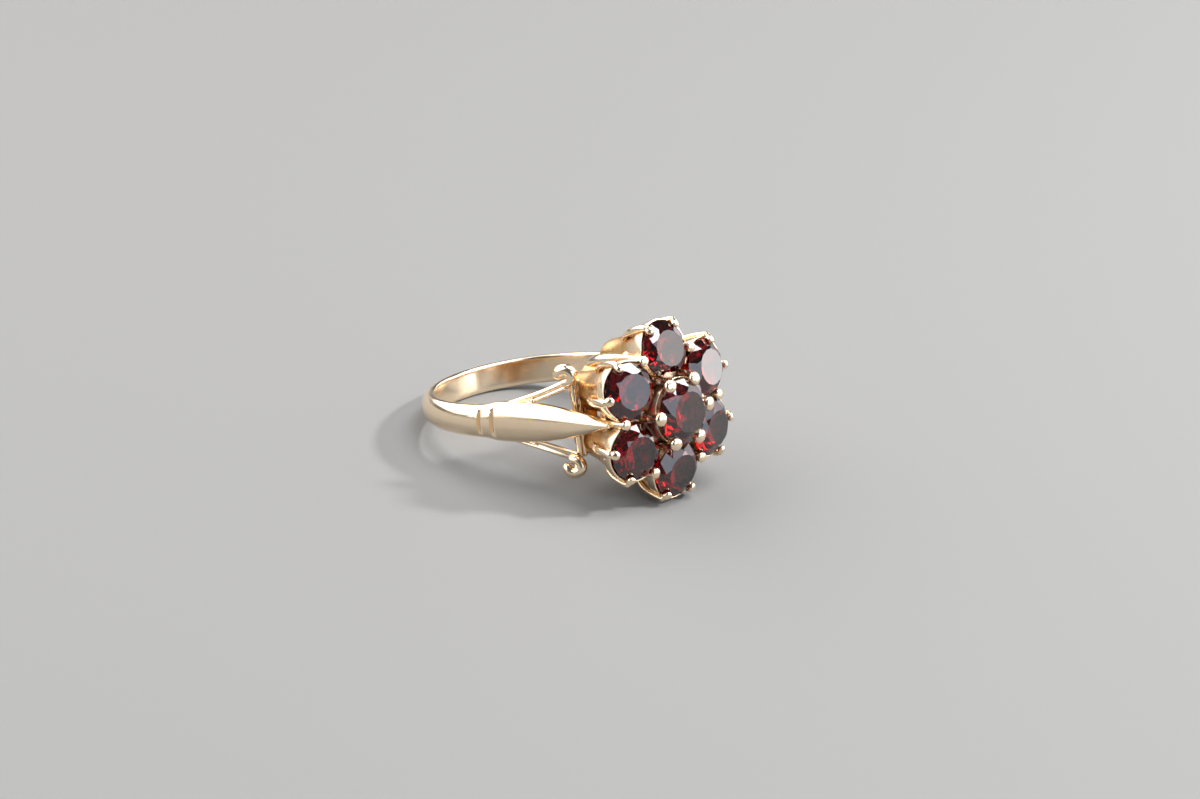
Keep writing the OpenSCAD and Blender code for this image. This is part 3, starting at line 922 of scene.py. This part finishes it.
class RING_OT_inner_claws(bpy.types.Operator):
    """Make the claws round the centre stone"""

    bl_idname = "ring.inner_claws"
    bl_label = "Inner Claws"

    def execute(self, context):
        head = sizes(context, "ring_head")
        places = head_places(head)
        edge = head.centre / 2 + head.gap
        stem = head.claw * INNER_STEM
        rows = [(edge + stem / 2, height, stem, stem)
                for height in (places.plate + head.plate / 2, places.centre - head.claw)]
        out, up = INNER_TIP_AT
        bead = head.inner_bead
        rows += tip_rows(edge + head.claw * out, places.centre + bead * up, INNER_TIP, bead)
        bm = bmesh.new()
        claw(bm, rows)
        copies_round_head(bm)
        metal_piece(bm, "inner_claws")
        return {"FINISHED"}


# Materials

# Wear: patches to the metre, how many times finer the scratches are, and their direction
WEAR_SCALE = 420
SCRATCH_FINENESS = 7
SCRATCH_STRETCH = (1, 6, 1)
SCRATCH_TURN = (0.4, 0.3, 0.7)
# The wear between which the colour turns dull, and the most that it does
DULL_BETWEEN = (0.45, 0.75)
DULL_MOST = 0.5
# The wear between which the roughness changes, and its change
ROUGH_BETWEEN = (0.35, 0.7)
ROUGH_CHANGE = (0.8, 1.4)
# Depth of a scratch in millimetres, and how strongly each finish shows it
SCRATCH_DEPTH = 0.02
POLISHED_GRAIN = 0.05
GALLERY_GRAIN = 0.15
# Where the painted shade in the gallery deepens, below the girdle by the rim's height
PAINTED_SHADE_BETWEEN = (1.4, 2.8)
GARNET_IOR = 1.85
GARNET_ROUGHNESS = 0.02
# The garnet's darker places: their number to the metre, and their colour by the stone's
GARNET_DEPTHS = 300
GARNET_DARK = (0.6, 0.5, 0.5)


def add_node(tree, kind, values=None, **settings):
    """A new node with its settings, and with its sockets' values by name."""
    made = tree.nodes.new("ShaderNode" + kind)
    for key, value in settings.items():
        setattr(made, key, value)
    for socket, value in (values or {}).items():
        made.inputs[socket].default_value = value
    return made


def new_material(name, values):
    """A material and its shader, with the shader's values by name."""
    material = bpy.data.materials.new(name)
    material.use_nodes = True
    shader = material.node_tree.nodes["Principled BSDF"]
    for socket, value in values.items():
        shader.inputs[socket].default_value = value
    return material, shader


def fine_wear():
    """Group: fine wear of a polished surface, as a dullness mask and a height."""
    name = "Fine wear"
    if name in bpy.data.node_groups:
        return bpy.data.node_groups[name]
    group = bpy.data.node_groups.new(name, "ShaderNodeTree")
    face = group.interface
    face.new_socket("Scale", in_out="INPUT", socket_type="NodeSocketFloat")
    face.new_socket("Dullness", in_out="OUTPUT", socket_type="NodeSocketFloat")
    face.new_socket("Height", in_out="OUTPUT", socket_type="NodeSocketFloat")
    start, end = group.nodes.new("NodeGroupInput"), group.nodes.new("NodeGroupOutput")
    place = add_node(group, "TexCoord")
    broad = add_node(group, "TexNoise", {"Detail": 4})
    fine = add_node(group, "TexNoise", {"Detail": 6})
    stretch = add_node(group, "Mapping", {"Scale": SCRATCH_STRETCH, "Rotation": SCRATCH_TURN})
    finer = add_node(group, "Math", operation="MULTIPLY")
    finer.inputs[1].default_value = SCRATCH_FINENESS
    link = group.links.new
    link(place.outputs["Object"], broad.inputs["Vector"])
    link(place.outputs["Object"], stretch.inputs["Vector"])
    link(stretch.outputs["Vector"], fine.inputs["Vector"])
    link(start.outputs["Scale"], broad.inputs["Scale"])
    link(start.outputs["Scale"], finer.inputs[0])
    link(finer.outputs["Value"], fine.inputs["Scale"])
    link(broad.outputs["Fac"], end.inputs["Dullness"])
    link(fine.outputs["Fac"], end.inputs["Height"])
    return group


def gold(name, roughness, grain):
    """Gold whose colour and gloss change with fine wear."""
    looks = bpy.context.scene.ring_looks
    material, shader = new_material(name, {"Metallic": 1})
    tree = material.node_tree
    wear = add_node(tree, "Group", node_tree=fine_wear())
    wear.inputs["Scale"].default_value = WEAR_SCALE
    amount = add_node(tree, "MapRange", {
        "From Min": DULL_BETWEEN[0], "From Max": DULL_BETWEEN[1], "To Max": DULL_MOST})
    tint = add_node(
        tree, "Mix", {"A": (*looks.gold, 1), "B": (*looks.gold_shade, 1)}, data_type="RGBA")
    rough = add_node(tree, "MapRange", {
        "From Min": ROUGH_BETWEEN[0], "From Max": ROUGH_BETWEEN[1],
        "To Min": roughness * ROUGH_CHANGE[0], "To Max": roughness * ROUGH_CHANGE[1]})
    bump = add_node(tree, "Bump", {"Strength": grain, "Distance": SCRATCH_DEPTH * MM})
    link = tree.links.new
    link(wear.outputs["Dullness"], amount.inputs["Value"])
    link(wear.outputs["Dullness"], rough.inputs["Value"])
    link(wear.outputs["Height"], bump.inputs["Height"])
    link(amount.outputs["Result"], tint.inputs["Factor"])
    link(tint.outputs["Result"], shader.inputs["Base Color"])
    link(rough.outputs["Result"], shader.inputs["Roughness"])
    link(bump.outputs["Normal"], shader.inputs["Normal"])
    return material


def polished_gold():
    """The gold of every piece but the gallery, made once."""
    name = "Polished gold"
    if name in bpy.data.materials:
        return bpy.data.materials[name]
    return gold(name, bpy.context.scene.ring_looks.gold_roughness, POLISHED_GRAIN)


def gallery_gold():
    """The gallery's gold: less polished, with painted shade, darker and more amber, towards the
    finger.
    """
    looks = bpy.context.scene.ring_looks
    material = gold("Gallery gold", looks.gallery_roughness, GALLERY_GRAIN)
    head = sizes(bpy.context, "ring_head")
    up = PLACE.to_3x3().normalized() @ Z
    girdle = PLACE.translation.dot(up) + head_places(head).girdle * MM
    tree = material.node_tree
    shader = tree.nodes["Principled BSDF"]
    # Painted shade: below the girdle the colour turns to the darker amber one, standing in for
    # shade and the garnets' light
    place = add_node(tree, "TexCoord")
    height = add_node(tree, "VectorMath", operation="DOT_PRODUCT")
    height.inputs[1].default_value = up
    depth = add_node(tree, "MapRange", {
        "From Min": girdle - head.rim * PAINTED_SHADE_BETWEEN[0] * MM,
        "From Max": girdle - head.rim * PAINTED_SHADE_BETWEEN[1] * MM})
    tint = add_node(tree, "Mix", {"B": (*looks.recess, 1)}, data_type="RGBA")
    link = tree.links.new
    link(place.outputs["Object"], height.inputs[0])
    link(height.outputs["Value"], depth.inputs["Value"])
    link(depth.outputs["Result"], tint.inputs["Factor"])
    link(shader.inputs["Base Color"].links[0].from_socket, tint.inputs["A"])
    link(tint.outputs["Result"], shader.inputs["Base Color"])
    return material


def garnet():
    """Clear dark garnet, a little darker in places."""
    red = bpy.context.scene.ring_looks.garnet
    dark = [k * share for k, share in zip(red, GARNET_DARK)]
    material, shader = new_material(
        "Garnet", {"Transmission Weight": 1, "IOR": GARNET_IOR, "Roughness": GARNET_ROUGHNESS})
    tree = material.node_tree
    place = add_node(tree, "TexCoord")
    depth = add_node(tree, "TexNoise", {"Scale": GARNET_DEPTHS})
    tint = add_node(tree, "Mix", {"A": (*red, 1), "B": (*dark, 1)}, data_type="RGBA")
    link = tree.links.new
    link(place.outputs["Object"], depth.inputs["Vector"])
    link(depth.outputs["Fac"], tint.inputs["Factor"])
    link(tint.outputs["Result"], shader.inputs["Base Color"])
    return material


class RING_OT_stones(bpy.types.Operator):
    """Give the cut stones their garnet"""

    bl_idname = "ring.stones"
    bl_label = "Stones"

    def execute(self, context):
        material = garnet()
        for name in STONES:
            mesh = frame["nodes"][name].data
            mesh.materials.clear()
            mesh.materials.append(material)
            mesh.shade_flat()
        return {"FINISHED"}


# Stage

FLOOR_HALF = 1.5
FLOOR_ROUGHNESS = 0.7
FLOOR_SHINE = 0.15
# The room's colour and brightness, and its brightness where the camera looks past the floor
ROOM = (0.9, 0.95, 1, 1)
ROOM_LIGHT = 0.1
ROOM_SEEN = 0.8
# Camera: place and clipping in metres, turn in degrees, film and lens in millimetres
CAMERA_PLACE = (-0.19643, -0.18773, 0.12526)
CAMERA_TURN = (65.93, -4.77, -44.59)
CAMERA_CLIP = (0.01, 10)
CAMERA_FILM = 36
CAMERA_LENS = 112.3
# Softbox: name, place and aim in metres, width and height, brightness, colour
SOFTBOXES = (
    ("overhead", (0.2, -0.1, 0.5), (0.2, -0.1, 0), (0.45, 0.26), 12, (1, 1, 1)),
    ("window", (-0.1, 0.42, 0.34), (0, 0, 0), (0.9, 0.6), 4, (1, 0.98, 0.95)),
    ("left_window", (-0.42, 0.1, 0.27), (0, 0, 0), (0.4, 0.5), 3, (1, 0.99, 0.97)),
    ("key", (0.35, -0.25, 0.35), (0, 0, 0), (0.05, 0.05), 560, (1, 0.98, 0.95)),
    ("right_low", (0.43, -0.3, 0.065), (0, 0, 0.065), (0.4, 0.13), 5, (1, 0.99, 0.98)),
    ("right_high", (0.4, -0.36, 0.22), (0, 0, 0), (0.4, 0.16), 3, (1, 0.99, 0.98)),
    ("far_wall", (0.6, 0.05, 0.16), (0, 0, 0), (0.5, 0.3), 2, (0.85, 0.92, 1)),
    ("front", (0.02, -0.52, 0.24), (0, 0, 0), (0.5, 0.44), 2.2, (0.76, 0.88, 1)),
)


class RING_OT_stage(bpy.types.Operator):
    """Set the floor, the lights and the camera"""

    bl_idname = "ring.stage"
    bl_label = "Stage"

    def execute(self, context):
        self.floor(context)
        self.lights(context)
        self.camera(context)
        return {"FINISHED"}

    def floor(self, context):
        bm = bmesh.new()
        bmesh.ops.create_grid(bm, x_segments=1, y_segments=1, size=FLOOR_HALF)
        mesh = bpy.data.meshes.new("floor")
        bm.to_mesh(mesh)
        bm.free()
        material, _ = new_material("Pale floor", {
            "Base Color": (*context.scene.ring_looks.floor, 1), "Roughness": FLOOR_ROUGHNESS,
            "Specular IOR Level": FLOOR_SHINE})
        mesh.materials.append(material)
        floor = bpy.data.objects.new("floor", mesh)
        context.scene.collection.objects.link(floor)

    def lights(self, context):
        self.room(context.scene)
        context.scene.view_settings.view_transform = "Standard"
        for name, place, aim, size, strength, tint in SOFTBOXES:
            width, height = size
            light = bpy.data.lights.new(name, "AREA")
            light.shape = "RECTANGLE"
            light.size, light.size_y = width, height
            light.energy = strength * pi * width * height
            light.color = tint
            lamp = bpy.data.objects.new(name, light)
            lamp.location = place
            lamp.rotation_euler = (Vector(place) - Vector(aim)).to_track_quat("Z", "Y").to_euler()
            lamp.visible_camera = False
            context.scene.collection.objects.link(lamp)

    def room(self, scene):
        """Dim light from all round, which the camera sees brighter."""
        world = bpy.data.worlds.new("Studio")
        world.use_nodes = True
        tree = world.node_tree
        seen = add_node(tree, "LightPath")
        strength = add_node(tree, "MapRange", {"To Min": ROOM_LIGHT, "To Max": ROOM_SEEN})
        back = tree.nodes["Background"]
        back.inputs["Color"].default_value = ROOM
        tree.links.new(seen.outputs["Is Camera Ray"], strength.inputs["Value"])
        tree.links.new(strength.outputs["Result"], back.inputs["Strength"])
        scene.world = world

    def camera(self, context):
        data = bpy.data.cameras.new("camera")
        data.sensor_width = CAMERA_FILM
        data.lens = CAMERA_LENS
        data.clip_start, data.clip_end = CAMERA_CLIP
        camera = bpy.data.objects.new("camera", data)
        camera.location = CAMERA_PLACE
        camera.rotation_euler = [radians(turn) for turn in CAMERA_TURN]
        context.scene.collection.objects.link(camera)
        context.scene.camera = camera


# Registration

OPERATORS = (
    RING_OT_band, RING_OT_wires, RING_OT_scrolls, RING_OT_end_rails, RING_OT_cups,
    RING_OT_outer_claws, RING_OT_side_claws, RING_OT_inner_claws, RING_OT_stones,
    RING_OT_stage)


class RING_PT_panel(bpy.types.Panel):
    """Lists the ring's pieces"""

    bl_idname = "RING_PT_panel"
    bl_label = "Cluster Ring"
    bl_space_type = "VIEW_3D"
    bl_region_type = "UI"
    bl_category = "Cluster Ring"

    def draw(self, context):
        for made in OPERATORS:
            self.layout.operator(made.bl_idname)
        for key, group in GROUPS.items():
            box = self.layout.box()
            for name in group.__annotations__:
                box.prop(getattr(context.scene, key), name)


CLASSES = (*GROUPS.values(), *OPERATORS, RING_PT_panel)


def register():
    for made in CLASSES:
        bpy.utils.register_class(made)
    for key, group in GROUPS.items():
        setattr(bpy.types.Scene, key, PointerProperty(type=group))


def unregister():
    for key in GROUPS:
        delattr(bpy.types.Scene, key)
    for made in reversed(CLASSES):
        bpy.utils.unregister_class(made)


def main():
    register()
    for made in OPERATORS:
        family, name = made.bl_idname.split(".")
        getattr(getattr(bpy.ops, family), name)()


if __name__ == "__main__":
    main()
